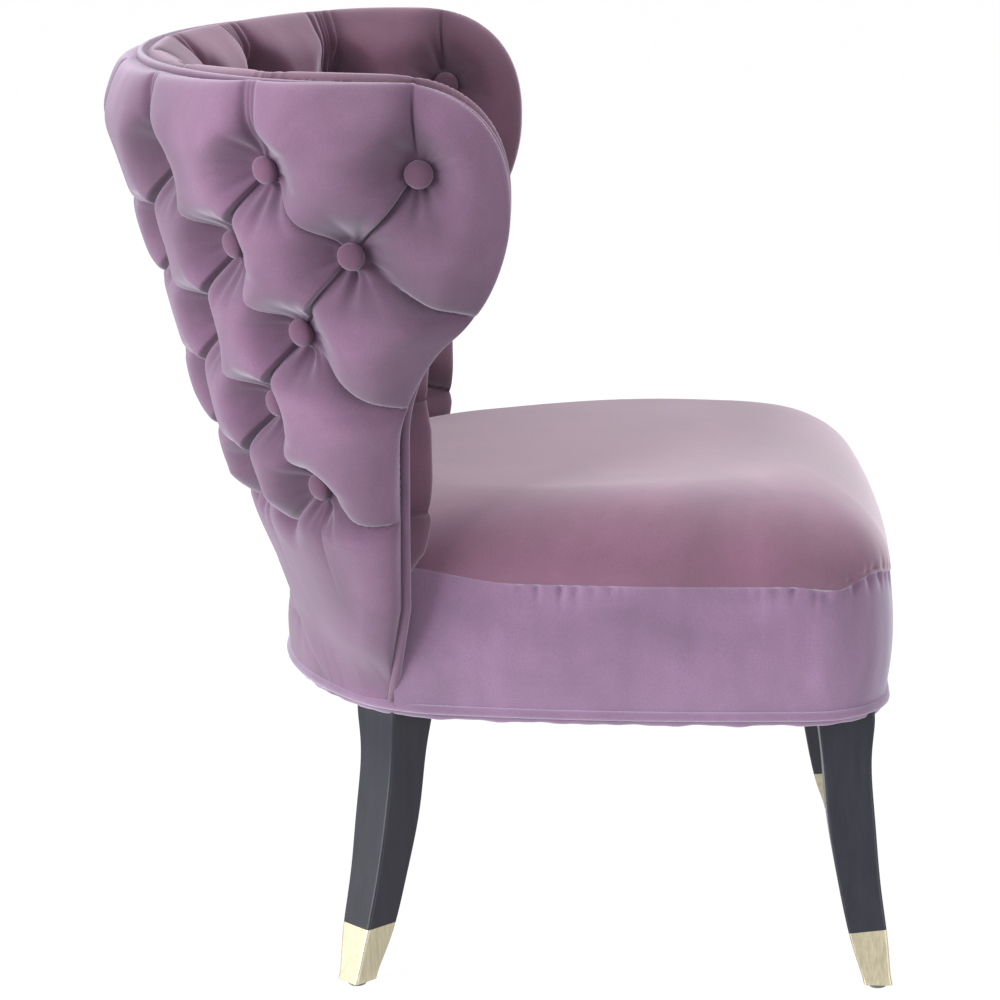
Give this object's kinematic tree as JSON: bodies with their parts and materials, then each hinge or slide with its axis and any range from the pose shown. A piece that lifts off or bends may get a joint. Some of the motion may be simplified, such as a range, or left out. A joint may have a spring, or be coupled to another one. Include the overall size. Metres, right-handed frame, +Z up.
{
  "type": "accent chair",
  "caption": "Upholstered wing-back accent chair with a deep-buttoned curved back, crowned seat, piped edges and splayed sabre legs in metal caps.",
  "frame": {"origin": "on the floor, under the middle of the bounding box", "axes": "+Z up, front of the chair towards -Y, sitter's left towards +X"},
  "size_m": [0.7022, 0.7129, 0.8007],
  "materials": {
    "mauve_velvet": "short-pile velvet with sheen",
    "dark_lacquer": "satin charcoal lacquer",
    "pale_brass": "brushed, pale",
    "frame_wood": "bare hardwood",
    "plywood": "bent plywood",
    "foam": "open-cell foam",
    "steel": "plain steel",
    "woven_cover": "coarse weave",
    "dark_cloth": "thin non-woven cloth",
    "glide_plastic": "plain"
  },
  "bodies": {
    "root": {"outer_back_pad": "mauve_velvet", "inner_back_pad": "mauve_velvet", "outer_buttons": "mauve_velvet", "inner_buttons": "mauve_velvet", "rim_welt": "mauve_velvet", "seat_top_cover": "mauve_velvet", "seat_border": "mauve_velvet", "rear_apron": "mauve_velvet", "bottom_welt": "mauve_velvet", "front_left_leg": "dark_lacquer", "front_right_leg": "dark_lacquer", "rear_left_leg": "dark_lacquer", "rear_right_leg": "dark_lacquer", "front_left_cap": "pale_brass", "front_right_cap": "pale_brass", "rear_left_cap": "pale_brass", "rear_right_cap": "pale_brass", "front_seat_rail": "frame_wood", "left_seat_rail": "frame_wood", "right_seat_rail": "frame_wood", "rear_seat_rail": "frame_wood", "corner_blocks": "frame_wood", "back_shell": "plywood", "seat_foam": "foam", "seat_springs": "steel", "spring_clips": "steel", "leg_bolts": "steel", "back_brackets": "steel", "bracket_screws": "steel", "spring_cover": "woven_cover", "dust_cover": "dark_cloth", "glides": "glide_plastic"}
  },
  "joints": []
}
